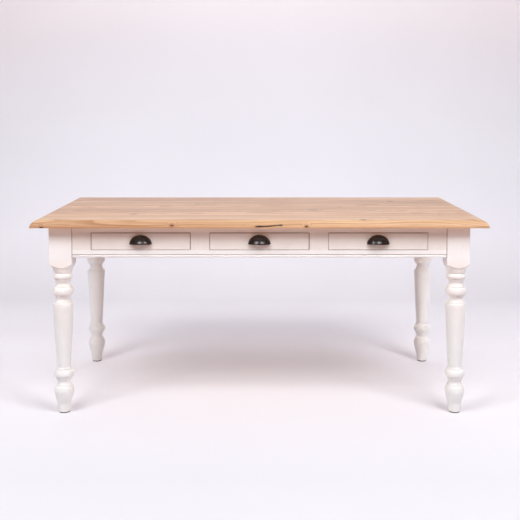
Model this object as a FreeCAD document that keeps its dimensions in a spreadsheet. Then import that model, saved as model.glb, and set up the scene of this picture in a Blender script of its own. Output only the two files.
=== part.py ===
"""Farmhouse kitchen table with three apron drawers, as a parametric document.

Millimetres. The origin is on the floor under the middle of the tabletop: +X runs along
the tabletop, the drawers open towards -Y, and +Z is up.
"""
import FreeCAD, Part
import os
import re
import Sketcher

Vector = FreeCAD.Vector

# ---------------------------------------------------------------- driving dimensions
SIZES = {
    # tabletop
    "top_length": 1800, "top_width": 900, "top_thickness": 30, "table_height": 790,
    "edge_flat": 6, "edge_run": 32,
    # the boards from the front edge, each as a share of the tabletop's width
    "share_1": 0.15, "share_2": 0.15, "share_3": 0.152, "share_4": 0.124, "share_5": 0.124,
    "share_6": 0.15,
    # legs: square block above, turning below
    "leg_width": 90, "side_overhang": 65, "front_overhang": 44, "block_length": 151,
    "leg_chamfer": 40, "foot_bevel": 2,
    "glide_radius": 21, "glide_thickness": 4,
    # aprons and the front frame around the drawers
    "apron_height": 124, "apron_thickness": 22, "apron_recess": 3,
    "top_rail": 24, "bottom_rail": 30, "stile_width": 76,
    "bead_height": 11, "bead_inset": 4, "quirk_width": 2.5,
    # runners, kickers and stops that carry the drawers
    "runner_height": 20, "runner_ledge": 22, "guide_width": 18, "guide_height": 24,
    "kicker_height": 24, "stop_length": 20, "stop_height": 18, "stop_width": 14,
    # drawers
    "drawer_depth": 440, "drawer_gap": 2, "slide_gap": 0.3, "drawer_front": 20,
    "side_thickness": 12, "side_height": 66, "rabbet_depth": 12, "back_drop": 6,
    "bottom_thickness": 6, "bottom_lift": 8, "groove_depth": 6, "groove_slack": 0.1,
    # cup pulls
    "pull_width": 91, "pull_height": 37, "pull_depth": 24, "pull_wall": 2.5,
    "pull_drop": 11, "boss_radius": 4, "boss_spacing": 64, "boss_rise": 10,
    "pull_screw_radius": 2, "pull_screw_bite": 8, "pull_head_radius": 4, "pull_head": 2.4,
    # corner braces and the bolts that hold the legs
    "brace_gap": 1, "brace_thickness": 20,
    "bolt_radius": 4, "bolt_bite": 45, "bolt_end": 4, "washer_radius": 11,
    "washer_thickness": 2, "nut_radius": 7.5, "nut_height": 6.5,
    # screws up through the kickers into the tabletop
    "top_screw_radius": 2.2, "top_screw_bite": 20, "top_head_radius": 4.4, "top_head": 3,
    "top_screw_pitch": 290,
}

# The turning, as a turner reads it: name, height, then radius at its low end, half way up
# and at its high end. Where an element starts wider or narrower than the last one ended,
# the turning steps straight in or out.
LOWER_TURNING = [
    ("foot", 34, 23.8, 25.2, 26.6),
    ("vase", 48, 26.6, 33.6, 38.9),
    ("vase_top", 23, 38.9, 38.5, 33.8),
    ("vase_fillet", 6, 31.6, 31.6, 31.6),
    ("low_neck", 21, 29.4, 25.3, 26.2),
    ("low_fillet", 8, 30.6, 30.8, 30.6),
    ("low_groove", 2, 29.2, 29.2, 29.2),
    ("low_ring", 30, 34.2, 39.2, 33.4),
    ("shaft_fillet", 10, 30.8, 30.6, 28.6),
]
UPPER_TURNING = [
    ("knee", 23, 40.8, 41.3, 39),
    ("knee_fillet", 5, 34.2, 34.2, 34.2),
    ("high_neck", 22, 32.6, 28.6, 27.6),
    ("ring_fillet", 6, 33.2, 33.6, 33.2),
    ("ring_groove", 2, 31.2, 31.2, 31.2),
    ("high_ring", 29, 37.4, 41.8, 36.4),
    ("cove_fillet", 6, 33.8, 33.8, 33.8),
    ("cove", 20, 32.8, 28.9, 28.2),
    ("bead_fillet", 8, 33, 33.2, 33),
    ("bead_groove", 2, 31, 31, 31),
    ("high_bead", 21, 36.2, 38.4, 33.6),
    ("collar_groove", 6, 33, 33, 33),
    ("collar", 17, 37, 38.6, 39.6),
]
SHAFT = (26.9, 34.2, 40.4)
SHOULDER = (18, 41, 52)

BOARDS = 7
DRAWERS = {"left": "-drawer_pitch", "middle": "0", "right": "drawer_pitch"}
CORNERS = {
    "front_left": ("-", "-", 0),
    "front_right": ("", "-", 90),
    "back_right": ("", "", 180),
    "back_left": ("-", "", 270),
}
TOP_SCREW_ROWS = (-1, 0, 1)

# ---------------------------------------------------------------- derived sizes
DERIVED = {
    "half_length": "top_length / 2",
    "half_width": "top_width / 2",
    "edge_start_x": "half_length - edge_run",
    "edge_start_y": "half_width - edge_run",
    "edge_rise": "top_thickness - edge_flat",
    "edge_radius": "(edge_run * edge_run + edge_rise * edge_rise) / (2 * edge_rise)",
    "edge_turn": "asin(edge_run / edge_radius) / 2",
    "edge_mid_x": "edge_start_x + edge_radius * sin(edge_turn)",
    "edge_mid_y": "edge_start_y + edge_radius * sin(edge_turn)",
    "edge_mid_z": "top_thickness - edge_radius * (1 - cos(edge_turn))",
    "underside": "table_height - top_thickness",
    "leg_half": "leg_width / 2",
    "leg_outer_x": "half_length - side_overhang",
    "leg_outer_y": "half_width - front_overhang",
    "leg_inner_x": "leg_outer_x - leg_width",
    "leg_inner_y": "leg_outer_y - leg_width",
    "leg_x": "leg_outer_x - leg_half",
    "leg_y": "leg_outer_y - leg_half",
    "block_bottom": "underside - block_length",
    "blank_radius": "0.72 * leg_width",
    "chamfer_start": "leg_half - leg_chamfer",
    "chamfer_height": "apron_height - bottom_rail / 2",
    "apron_outer_x": "leg_outer_x - apron_recess",
    "apron_outer_y": "leg_outer_y - apron_recess",
    "apron_inner_x": "apron_outer_x - apron_thickness",
    "apron_inner_y": "apron_outer_y - apron_thickness",
    "apron_bottom": "underside - apron_height",
    "front_span": "2 * leg_inner_x",
    "side_span": "2 * leg_inner_y",
    "inner_depth": "2 * apron_inner_y",
    "bead_middle": "bead_height / 2",
    "quirk_top": "bead_height + quirk_width",
    "opening_bottom": "apron_bottom + bottom_rail",
    "opening_height": "apron_height - bottom_rail - top_rail",
    "opening_top": "opening_bottom + opening_height",
    "opening_width": "(front_span - 4 * stile_width) / 3",
    "drawer_pitch": "opening_width + stile_width",
    "outer_guide_x": "1.5 * opening_width + stile_width",
    "inner_guide_x": "drawer_pitch / 2",
    "inner_guide_half": "stile_width / 2",
    "inner_ledge_half": "inner_guide_half + runner_ledge",
    "runner_top": "runner_height + guide_height",
    "stop_x": "(opening_width - stop_width) / 2 - drawer_gap",
    "front_width": "opening_width - 2 * drawer_gap",
    "front_half": "front_width / 2",
    "front_height": "opening_height - 2 * drawer_gap",
    "side_inner_x": "front_half - side_thickness",
    "side_length": "drawer_depth - drawer_front + rabbet_depth",
    "side_bottom": "opening_bottom + slide_gap",
    "groove_low": "bottom_lift - groove_slack",
    "groove_high": "bottom_lift + bottom_thickness + groove_slack",
    "groove_floor": "side_thickness - groove_depth",
    "front_groove_floor": "drawer_front - groove_depth",
    "front_groove_low": "groove_low - drawer_gap + slide_gap",
    "front_groove_high": "groove_high - drawer_gap + slide_gap",
    "pull_bottom": "opening_bottom + opening_height / 2 - pull_drop",
    "pull_half": "pull_width / 2",
    "brace_bottom": "opening_bottom + guide_height + brace_gap",
    "brace_height": "opening_top - brace_gap - brace_bottom",
    "bolt_height": "brace_bottom + brace_height / 2",
    "chamfer_reach": "(leg_width - leg_chamfer) / sqrt(2)",
    "brace_face": "chamfer_reach + brace_thickness",
    "brace_wall": "leg_half - apron_recess - apron_thickness",
    "brace_near": "leg_width - leg_chamfer + brace_wall",
    "brace_far": "brace_near + brace_thickness * sqrt(2)",
    "bolt_length": "bolt_bite + brace_thickness + washer_thickness + nut_height + bolt_end",
}

doc = FreeCAD.newDocument("kitchen_table")
sheet = doc.addObject("Spreadsheet::Sheet", "Dim")
pieces = []


def cells(text):
    """Expression text with each size's alias pointed at its cell in the sheet."""
    return re.sub(r"\b(?!sqrt\b)[a-z]\w*", lambda found: "Dim." + found.group(), text)


def store(alias, content):
    """Write one row of the sheet: the name in column A, the value and alias in column B."""
    store.row += 1
    sheet.set(f"A{store.row}", alias)
    sheet.set(f"B{store.row}", str(content))
    sheet.setAlias(f"B{store.row}", alias)


store.row = 0


def stack(elements, edge, upwards):
    """Store turned elements end to end, up or down from the height named edge."""
    near, far, sign = ("bottom", "top", "+") if upwards else ("top", "bottom", "-")
    for name, height, low, middle, high in elements:
        store(f"{name}_height", height)
        store(f"{name}_low", low)
        store(f"{name}_middle", middle)
        store(f"{name}_high", high)
        store(f"{name}_{near}", f"={edge}")
        store(f"{name}_{far}", f"={name}_{near} {sign} {name}_height")
        store(f"{name}_centre", f"=({name}_bottom + {name}_top) / 2")
        edge = f"{name}_{far}"


def fill_sheet():
    """Driving sizes first, then the sizes worked out from them, then the turning."""
    for alias, number in SIZES.items():
        store(alias, number)
    for alias, formula in DERIVED.items():
        store(alias, f"={formula}")
    store("shoulder_height", SHOULDER[0])
    store("shoulder_low", SHOULDER[1])
    store("shoulder_middle", SHOULDER[2])
    store("shoulder_bottom", "=block_bottom - shoulder_height")
    store("shoulder_centre", "=block_bottom - shoulder_height / 2")
    stack(LOWER_TURNING, "glide_thickness", upwards=True)
    stack(reversed(UPPER_TURNING), "shoulder_bottom", upwards=False)
    for part, radius in zip(("low", "middle", "high"), SHAFT):
        store(f"shaft_{part}", radius)
    store("shaft_bottom", "=shaft_fillet_top")
    store("shaft_top", "=knee_bottom")
    store("shaft_centre", "=(shaft_bottom + shaft_top) / 2")
    store("foot_rim", "=foot_low - foot_bevel")
    store("foot_edge", "=glide_thickness + foot_bevel")
    doc.recompute()


def value(name):
    """Number behind an alias; a leading minus turns its sign, and 0 is zero."""
    if name == "0":
        return 0.0
    number = float(sheet.get(name.lstrip("-")))
    return -number if name.startswith("-") else number


def bind(thing, **expressions):
    """Bind properties to sizes; position=(x, y, z) binds the Placement's base."""
    position = expressions.pop("position", None)
    for axis, text in zip("xyz", position or ()):
        thing.setExpression(f"Placement.Base.{axis}", cells(text))
    for property_name, text in expressions.items():
        thing.setExpression(property_name, cells(text))
    return thing


def keep(thing, name):
    """Register a finished piece under its own label."""
    thing.Label = name
    pieces.append(thing)
    return thing


def box(name, size, position):
    """Board with its lowest corner at position."""
    board = doc.addObject("Part::Box", name)
    return bind(board, Length=size[0], Width=size[1], Height=size[2], position=position)


def rod(name, radius, length, position, direction=Vector(0, 0, 1)):
    """Round bar from position along direction."""
    bar = doc.addObject("Part::Cylinder", name)
    bar.Placement.Rotation = FreeCAD.Rotation(Vector(0, 0, 1), direction)
    return bind(bar, Radius=radius, Height=length, position=position)


def cut(name, base, tool):
    """Base with the tool's shape taken out of it."""
    result = doc.addObject("Part::Cut", name)
    result.Base, result.Tool = base, tool
    return result


def group(kind, name, members):
    """Part::MultiFuse, Part::MultiCommon or Part::Compound of several objects."""
    result = doc.addObject(kind, name)
    if kind == "Part::Compound":
        result.Links = members
    else:
        result.Shapes = members
    return result


def fix_point(sketch, geometry, end, point):
    """Hold one point of a sketch at a pair of named distances from the origin."""
    for kind, axis, name in (("DistanceX", -2, point[0]), ("DistanceY", -1, point[1])):
        if name == "0":
            sketch.addConstraint(Sketcher.Constraint("PointOnObject", geometry, end, axis))
            continue
        ends = (geometry, end, -1, 1) if name.startswith("-") else (-1, 1, geometry, end)
        size = abs(value(name))
        index = sketch.addConstraint(Sketcher.Constraint(kind, *ends, size))
        sketch.setExpression(f"Constraints[{index}]", cells(name.lstrip("-")))


def outline(body, plane, path):
    """Closed sketch through the path's points, each a pair of named coordinates.

    A point with a third item, "via", is not a corner: the edge past it is an arc.
    """
    sketch = body.newObject("Sketcher::SketchObject", body.Name + "_outline")
    support = [part for part in body.Origin.OriginFeatures if part.Role == plane]
    sketch.AttachmentSupport = [(support[0], "")]
    sketch.MapMode = "FlatFace"
    places = [Vector(value(point[0]), value(point[1]), 0) for point in path]
    corners = [index for index, point in enumerate(path) if len(point) == 2]
    starts, ends = [], []
    for start, end in zip(corners, corners[1:] + corners[:1]):
        first, last = places[start], places[end]
        if (start + 1) % len(path) == end:
            edge = sketch.addGeometry(Part.LineSegment(first, last))
            turned = False
        else:
            middle = places[start + 1]
            edge = sketch.addGeometry(Part.Arc(first, middle, last))
            turned = (middle - first).cross(last - middle).z < 0
            marker = sketch.addGeometry(Part.Point(middle), True)
            fix_point(sketch, marker, 1, path[start + 1])
            sketch.addConstraint(Sketcher.Constraint("PointOnObject", marker, 1, edge))
        starts.append((edge, 2 if turned else 1))
        ends.append((edge, 1 if turned else 2))
        fix_point(sketch, *starts[-1], path[start])
    for leaving, arriving in zip(ends, starts[1:] + starts[:1]):
        sketch.addConstraint(Sketcher.Constraint("Coincident", *leaving, *arriving))
    return sketch


def extrusion(name, plane, path, length, symmetric=True):
    """Body with one sketched outline padded to the named length."""
    body = doc.addObject("PartDesign::Body", name)
    sketch = outline(body, plane, path)
    pad = body.newObject("PartDesign::Pad", name + "_pad")
    pad.Profile = sketch
    pad.SideType = "Symmetric" if symmetric else "One side"
    pad.setExpression("Length", cells(length))
    sketch.Visibility = False
    return body


def screw(name, shank, head, position, direction):
    """Plain screw: a round head at position and a shank that leaves it along direction."""
    head_end = rod(name + "_head", head[0], head[1], position, direction)
    shank_end = rod(name + "_shank", shank[0], shank[1], position, direction)
    return group("Part::MultiFuse", name, [head_end, shank_end])


# ---------------------------------------------------------------- tabletop
def edge_path(half, start, middle):
    """Section of the tabletop across one pair of its thumbnail edges."""
    return [
        ("-" + half, "0"), (half, "0"), (half, "edge_flat"),
        (middle, "edge_mid_z", "via"), (start, "top_thickness"),
        ("-" + start, "top_thickness"), ("-" + middle, "edge_mid_z", "via"),
        ("-" + half, "edge_flat"),
    ]


def make_tabletop(screws):
    """Edge-glued boards, all cut from one blank with thumbnail edges on four sides."""
    along = extrusion("top_section_along", "YZ_Plane",
                      edge_path("half_width", "edge_start_y", "edge_mid_y"), "top_length")
    across = extrusion("top_section_across", "XZ_Plane",
                       edge_path("half_length", "edge_start_x", "edge_mid_x"), "top_width")
    blank = group("Part::MultiCommon", "top_blank", [along, across])
    bind(blank, position=("0", "0", "underside"))
    drilled = cut("top_drilled", blank, screws)
    front = "-half_width"
    for number in range(1, BOARDS + 1):
        last = number == BOARDS
        width = f"half_width - ({front})" if last else f"share_{number} * top_width"
        slab = box(f"board_slab_{number}", ("top_length", width, "top_thickness"),
                   ("-half_length", front, "underside"))
        board = group("Part::MultiCommon", f"top_board_{number}_cut", [drilled, slab])
        keep(board, f"top_board_{number}")
        front += f" + share_{number} * top_width"


# ---------------------------------------------------------------- legs
def turned_path():
    """Half section of a turned leg, with its square block still a round blank."""
    path = [("0", "glide_thickness"), ("foot_rim", "glide_thickness"), ("foot_low", "foot_edge")]
    shaft = [("shaft",)]
    for element in LOWER_TURNING + shaft + UPPER_TURNING:
        name = element[0]
        low = (f"{name}_low", f"{name}_bottom")
        here = (value(path[-1][0]), value(path[-1][1]))
        if name != "foot" and here != (value(low[0]), value(low[1])):
            path.append(low)
        straight = (value(f"{name}_low") + value(f"{name}_high")) / 2
        if value(f"{name}_middle") != straight:
            path.append((f"{name}_middle", f"{name}_centre", "via"))
        path.append((f"{name}_high", f"{name}_top"))
    path += [("shoulder_low", "shoulder_bottom"), ("shoulder_middle", "shoulder_centre", "via"),
             ("blank_radius", "block_bottom"), ("blank_radius", "underside"), ("0", "underside")]
    return path


def make_legs(bolts):
    """Four turned legs with the block's inner corner chamfered for the corner brace."""
    body = doc.addObject("PartDesign::Body", "leg_turning")
    sketch = outline(body, "XZ_Plane", turned_path())
    turning = body.newObject("PartDesign::Revolution", "leg_revolution")
    turning.Profile = sketch
    turning.ReferenceAxis = (sketch, ["V_Axis"])
    turning.Angle = 360
    column = box("leg_column", ("leg_width", "leg_width", "underside"),
                 ("-leg_half", "-leg_half", "0"))
    blank = group("Part::MultiCommon", "leg_blank", [body, column])
    corner = [("leg_half", "leg_half"), ("chamfer_start", "leg_half"),
              ("leg_half", "chamfer_start")]
    wedge = extrusion("leg_wedge", "XY_Plane", corner, "chamfer_height", symmetric=False)
    bind(wedge, position=("0", "0", "underside - chamfer_height"))
    chamfered = cut("leg_chamfered", blank, wedge)
    for name, (x_sign, y_sign, angle) in CORNERS.items():
        shape = cut(f"leg_{name}_drilled", chamfered, bolts)
        shape.Placement.Rotation = FreeCAD.Rotation(Vector(0, 0, 1), angle)
        bind(shape, position=(f"{x_sign}leg_x", f"{y_sign}leg_y", "0"))
        keep(shape, f"leg_{name}")


def make_glides():
    """Round floor glide under each foot."""
    glides = []
    for name, (x_sign, y_sign, _) in CORNERS.items():
        place = (f"{x_sign}leg_x", f"{y_sign}leg_y", "0")
        glides.append(rod(f"glide_{name}", "glide_radius", "glide_thickness", place))
    keep(group("Part::Compound", "glides", glides), "foot_glides")


# ---------------------------------------------------------------- aprons and front frame
def beaded_rail(name, length, height, angle, position):
    """Rail with a bead along its lower outer edge; its outer face looks out at the angle."""
    section = [
        ("bead_inset", "0"), ("0", "bead_middle", "via"), ("bead_inset", "bead_height"),
        ("0", "quirk_top"), ("0", height), ("apron_thickness", height),
        ("apron_thickness", "0"),
    ]
    rail = extrusion(name + "_body", "YZ_Plane", section, length)
    rail.Placement.Rotation = FreeCAD.Rotation(Vector(0, 0, 1), angle)
    bind(rail, position=position)
    return keep(rail, name)


def make_aprons():
    """Side and back aprons, and the front frame of two rails and four stiles."""
    beaded_rail("front_bottom_rail", "front_span", "bottom_rail", 0,
                ("0", "-apron_outer_y", "apron_bottom"))
    beaded_rail("apron_right", "side_span", "apron_height", 90,
                ("apron_outer_x", "0", "apron_bottom"))
    beaded_rail("apron_back", "front_span", "apron_height", 180,
                ("0", "apron_outer_y", "apron_bottom"))
    beaded_rail("apron_left", "side_span", "apron_height", 270,
                ("-apron_outer_x", "0", "apron_bottom"))
    top_rail = box("front_top_rail_box", ("front_span", "apron_thickness", "top_rail"),
                   ("-leg_inner_x", "-apron_outer_y", "opening_top"))
    keep(top_rail, "front_top_rail")
    stiles = ("outer_left", "inner_left", "inner_right", "outer_right")
    for number, side in enumerate(stiles):
        stile = box(f"stile_box_{side}", ("stile_width", "apron_thickness", "opening_height"),
                    (f"-leg_inner_x + {number} * drawer_pitch", "-apron_outer_y",
                     "opening_bottom"))
        keep(stile, f"front_stile_{side}")


# ---------------------------------------------------------------- drawer carriers
def runner_path(outer):
    """Section of a runner, with the drawer's ledge at its top and a guide beside it."""
    if outer:
        return [("0", "0"), ("-guide_width", "0"), ("-guide_width", "runner_top"),
                ("0", "runner_top"), ("0", "runner_height"),
                ("runner_ledge", "runner_height"), ("runner_ledge", "0")]
    return [("-inner_ledge_half", "0"), ("-inner_ledge_half", "runner_height"),
            ("-inner_guide_half", "runner_height"), ("-inner_guide_half", "runner_top"),
            ("inner_guide_half", "runner_top"), ("inner_guide_half", "runner_height"),
            ("inner_ledge_half", "runner_height"), ("inner_ledge_half", "0")]


def make_carriers(screws):
    """Runners under the drawer sides, kickers over them, and stops behind them."""
    places = {
        "outer_left": ("-outer_guide_x", True, 0), "inner_left": ("-inner_guide_x", False, 0),
        "inner_right": ("inner_guide_x", False, 0), "outer_right": ("outer_guide_x", True, 180),
    }
    for side, (place, outer, angle) in places.items():
        runner = extrusion(f"runner_body_{side}", "XZ_Plane", runner_path(outer), "inner_depth")
        runner.Placement.Rotation = FreeCAD.Rotation(Vector(0, 0, 1), angle)
        bind(runner, position=(place, "0", "opening_bottom - runner_height"))
        keep(runner, f"drawer_runner_{side}")
        if outer:
            width = "guide_width + runner_ledge"
            left = f"{place} - " + ("guide_width" if angle == 0 else "runner_ledge")
        else:
            width = "2 * inner_ledge_half"
            left = f"{place} - inner_ledge_half"
        kicker = box(f"kicker_box_{side}", (width, "inner_depth", "kicker_height"),
                     (left, "-apron_inner_y", "underside - kicker_height"))
        keep(cut(f"kicker_{side}", kicker, screws), f"drawer_kicker_{side}")
    stops = []
    for drawer, centre in DRAWERS.items():
        for side, sign in (("left", "-"), ("right", "+")):
            stops.append(box(
                f"stop_{drawer}_{side}", ("stop_width", "stop_length", "stop_height"),
                (f"{centre} {sign} stop_x - stop_width / 2",
                 "-apron_outer_y + drawer_depth + slide_gap", "opening_bottom")))
    keep(group("Part::Compound", "stops", stops), "drawer_stops")


def make_top_screws():
    """Screws up through the kickers; the tabletop and kickers are drilled to suit them."""
    columns = {
        "outer_left": "-outer_guide_x", "inner_left": "-inner_guide_x",
        "inner_right": "inner_guide_x", "outer_right": "outer_guide_x",
    }
    screws = []
    for side, column in columns.items():
        for row in TOP_SCREW_ROWS:
            place = (column, f"{row} * top_screw_pitch", "underside - kicker_height")
            screws.append(screw(
                f"top_screw_{side}_{row + 2}",
                ("top_screw_radius", "kicker_height + top_screw_bite"),
                ("top_head_radius", "top_head"), place, Vector(0, 0, 1)))
    return keep(group("Part::Compound", "top_screw_set", screws), "top_screws")


# ---------------------------------------------------------------- corner braces
def corner_set(name, label, member):
    """The same small part at each leg: made at the origin, turned and moved to each corner."""
    members = []
    for corner, (x_sign, y_sign, angle) in CORNERS.items():
        copy = group("Part::Compound", f"{name}_{corner}", [member])
        copy.Placement.Rotation = FreeCAD.Rotation(Vector(0, 0, 1), angle)
        members.append(bind(copy, position=(f"{x_sign}leg_x", f"{y_sign}leg_y", "0")))
    return keep(group("Part::Compound", name, members), label)


def make_corners():
    """Hanger bolts, washers, nuts and corner braces, all on the leg's inner diagonal."""
    inwards = Vector(1, 1, 0)
    bolt = rod("bolt", "bolt_radius", "bolt_length",
               ("(chamfer_reach - bolt_bite) / sqrt(2)", "(chamfer_reach - bolt_bite) / sqrt(2)",
                "bolt_height"), inwards)
    face = ("brace_face / sqrt(2)", "brace_face / sqrt(2)", "bolt_height")
    disc = rod("washer_disc", "washer_radius", "washer_thickness", face, inwards)
    washer = cut("washer", disc, bolt)
    hexagon = doc.addObject("Part::Prism", "nut_hexagon")
    hexagon.Polygon = 6
    hexagon.Placement.Rotation = FreeCAD.Rotation(Vector(0, 0, 1), inwards)
    seat = "(brace_face + washer_thickness) / sqrt(2)"
    bind(hexagon, Circumradius="nut_radius", Height="nut_height",
         position=(seat, seat, "bolt_height"))
    nut = cut("nut", hexagon, bolt)
    corner_set("hanger_bolt_set", "hanger_bolts", bolt)
    corner_set("hanger_washer_set", "hanger_washers", washer)
    corner_set("hanger_nut_set", "hanger_nuts", nut)
    return bolt


def make_braces(bolt):
    """Wooden brace across each corner, its ends glued to the two aprons' inner faces."""
    wall = "-brace_wall"
    near, far = "brace_near", "brace_far"
    section = [(wall, near), (near, wall), (far, wall), (wall, far)]
    block = extrusion("brace_block", "XY_Plane", section, "brace_height", symmetric=False)
    bind(block, position=("0", "0", "brace_bottom"))
    drilled = cut("brace_drilled", block, bolt)
    for corner, (x_sign, y_sign, angle) in CORNERS.items():
        brace = group("Part::Compound", f"brace_{corner}", [drilled])
        brace.Placement.Rotation = FreeCAD.Rotation(Vector(0, 0, 1), angle)
        bind(brace, position=(f"{x_sign}leg_x", f"{y_sign}leg_y", "0"))
        keep(brace, f"corner_brace_{corner}")


# ---------------------------------------------------------------- drawers
def make_pull_screws(drawer, centre):
    """Two screws from inside the drawer, through its front into the pull's bosses."""
    screws = []
    for side, sign in (("left", "-"), ("right", "+")):
        place = (f"{centre} {sign} boss_spacing / 2",
                 "-apron_outer_y + drawer_front + pull_head", "pull_bottom + boss_rise")
        screws.append(screw(
            f"pull_screw_{drawer}_{side}",
            ("pull_screw_radius", "pull_head + drawer_front + pull_screw_bite"),
            ("pull_head_radius", "pull_head"), place, Vector(0, -1, 0)))
    name = f"pull_screws_{drawer}"
    return keep(group("Part::Compound", name + "_set", screws), name)


def make_front(drawer, centre, screws):
    """Inset drawer front, grooved for the bottom and rabbeted at both ends for the sides."""
    section = [
        ("0", "0"), ("0", "front_height"), ("drawer_front", "front_height"),
        ("drawer_front", "front_groove_high"), ("front_groove_floor", "front_groove_high"),
        ("front_groove_floor", "front_groove_low"), ("drawer_front", "front_groove_low"),
        ("drawer_front", "0"),
    ]
    panel = extrusion(f"front_panel_{drawer}", "YZ_Plane", section, "front_width")
    bind(panel, position=(centre, "-apron_outer_y", "opening_bottom + drawer_gap"))
    rabbets = []
    for side, left in (("left", "- front_half"), ("right", "+ side_inner_x")):
        rabbets.append(box(
            f"rabbet_{drawer}_{side}", ("side_thickness", "rabbet_depth", "opening_height"),
            (f"{centre} {left}", "-apron_outer_y + drawer_front - rabbet_depth",
             "opening_bottom")))
    tools = group("Part::Compound", f"front_tools_{drawer}", [*rabbets, screws])
    keep(cut(f"front_cut_{drawer}", panel, tools), f"drawer_front_{drawer}")


def make_sides(drawer, centre):
    """Drawer sides, with the groove that holds the bottom on their inner faces."""
    section = [
        ("0", "0"), ("0", "side_height"), ("side_thickness", "side_height"),
        ("side_thickness", "groove_high"), ("groove_floor", "groove_high"),
        ("groove_floor", "groove_low"), ("side_thickness", "groove_low"),
        ("side_thickness", "0"),
    ]
    middle = "-apron_outer_y + drawer_depth - side_length / 2"
    for side, sign, angle in (("left", "-", 0), ("right", "+", 180)):
        plank = extrusion(f"side_{drawer}_{side}", "XZ_Plane", section, "side_length")
        plank.Placement.Rotation = FreeCAD.Rotation(Vector(0, 0, 1), angle)
        bind(plank, position=(f"{centre} {sign} front_half", middle, "side_bottom"))
        keep(plank, f"drawer_side_{drawer}_{side}")


def make_pull(drawer, centre, screws):
    """Cup pull: half of a hollow dome, open below and behind, with two screw bosses."""
    base = (centre, "-apron_outer_y", "pull_bottom")
    outer = doc.addObject("Part::Ellipsoid", f"pull_outer_{drawer}")
    inner = doc.addObject("Part::Ellipsoid", f"pull_inner_{drawer}")
    for dome, wall in ((outer, "0"), (inner, "pull_wall")):
        dome.Angle1 = -90
        dome.Angle2 = 90
        bind(dome, Radius1=f"pull_height - {wall}", Radius2=f"pull_half - {wall}",
             Radius3=f"pull_depth - {wall}", position=base)
    bosses = []
    for side, sign in (("left", "-"), ("right", "+")):
        bosses.append(rod(
            f"pull_boss_{drawer}_{side}", "boss_radius", "pull_depth",
            (f"{centre} {sign} boss_spacing / 2", "-apron_outer_y", "pull_bottom + boss_rise"),
            Vector(0, -1, 0)))
    shell = cut(f"pull_shell_{drawer}", outer, inner)
    solid = group("Part::MultiFuse", f"pull_solid_{drawer}", [shell, *bosses])
    quarter = box(f"pull_quarter_{drawer}", ("pull_width", "pull_depth", "pull_height"),
                  (f"{centre} - pull_half", "-apron_outer_y - pull_depth", "pull_bottom"))
    shaped = group("Part::MultiCommon", f"pull_shaped_{drawer}", [solid, outer, quarter])
    keep(cut(f"pull_drilled_{drawer}", shaped, screws), f"cup_pull_{drawer}")


def make_drawers():
    """Three equal drawers: front, two sides, back, bottom, cup pull and its screws."""
    for drawer, centre in DRAWERS.items():
        screws = make_pull_screws(drawer, centre)
        make_front(drawer, centre, screws)
        make_sides(drawer, centre)
        panel_top = "side_bottom + bottom_lift + bottom_thickness"
        back = box(f"back_{drawer}",
                   ("2 * side_inner_x", "side_thickness",
                    "side_height - bottom_lift - bottom_thickness - back_drop"),
                   (f"{centre} - side_inner_x", "-apron_outer_y + drawer_depth - side_thickness",
                    panel_top))
        keep(back, f"drawer_back_{drawer}")
        tongue = "(groove_depth - 5 * groove_slack)"
        bottom = box(f"bottom_{drawer}",
                     (f"2 * (side_inner_x + {tongue})",
                      f"drawer_depth - drawer_front + {tongue}", "bottom_thickness"),
                     (f"{centre} - side_inner_x - {tongue}",
                      f"-apron_outer_y + drawer_front - {tongue}", "side_bottom + bottom_lift"))
        keep(bottom, f"drawer_bottom_{drawer}")
        make_pull(drawer, centre, screws)


# ---------------------------------------------------------------- build and write
def check_and_write():
    """Stop if anything failed, then write one STEP file for each piece."""
    doc.recompute()
    failed = [thing.Name for thing in doc.Objects
              if "Invalid" in thing.State or "Error" in thing.State]
    if failed:
        raise RuntimeError(f"failed objects: {failed}")
    os.makedirs("parts", exist_ok=True)
    for piece in pieces:
        shape = piece.Shape
        if shape.isNull() or not shape.isValid() or shape.Volume <= 0:
            raise RuntimeError(f"bad shape: {piece.Label}")
        shape.exportStep(f"parts/{piece.Label}.step")
        print(f"{piece.Label:32s} {len(shape.Solids)} solids {shape.Volume / 1000:10.2f} cm3")


fill_sheet()
top_screws = make_top_screws()
make_tabletop(top_screws)
hanger_bolt = make_corners()
make_legs(hanger_bolt)
make_braces(hanger_bolt)
make_glides()
make_aprons()
make_carriers(top_screws)
make_drawers()
check_and_write()
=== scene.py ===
# %% [markdown]
# # Dressing a farmhouse kitchen table
# The frame is already measured and packed: seven top boards, four legs, a painted frame and
# three drawers that slide. This lesson gives each of them its look. Everything is in metres,
# the floor is z = 0, the drawers open towards -Y, and no CAD piece is ever moved.

# %% Load the frame
import bmesh
import bpy
import math
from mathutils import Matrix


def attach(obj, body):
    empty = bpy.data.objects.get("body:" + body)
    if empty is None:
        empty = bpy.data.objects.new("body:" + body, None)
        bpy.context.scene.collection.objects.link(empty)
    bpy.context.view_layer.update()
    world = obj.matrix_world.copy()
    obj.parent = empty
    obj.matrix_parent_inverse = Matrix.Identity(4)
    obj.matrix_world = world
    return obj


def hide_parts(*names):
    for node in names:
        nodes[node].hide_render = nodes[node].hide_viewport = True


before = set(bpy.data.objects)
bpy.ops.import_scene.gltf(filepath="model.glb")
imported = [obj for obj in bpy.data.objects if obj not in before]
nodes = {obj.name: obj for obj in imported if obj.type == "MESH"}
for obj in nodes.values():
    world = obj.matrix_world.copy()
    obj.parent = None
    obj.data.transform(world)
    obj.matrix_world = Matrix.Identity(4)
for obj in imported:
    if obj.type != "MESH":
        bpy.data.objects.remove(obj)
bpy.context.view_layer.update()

# %% [markdown]
# ## Camera
# The table is seen from a standing person's eye, a little above the top and square to its
# long side. The upright legs stay upright because the camera is nearly level, and a small
# lens shift, not a tilt, brings the feet into the picture, as a view camera does. The focal
# length and the centre of the view are in pixels of a picture 520 pixels wide.

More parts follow.
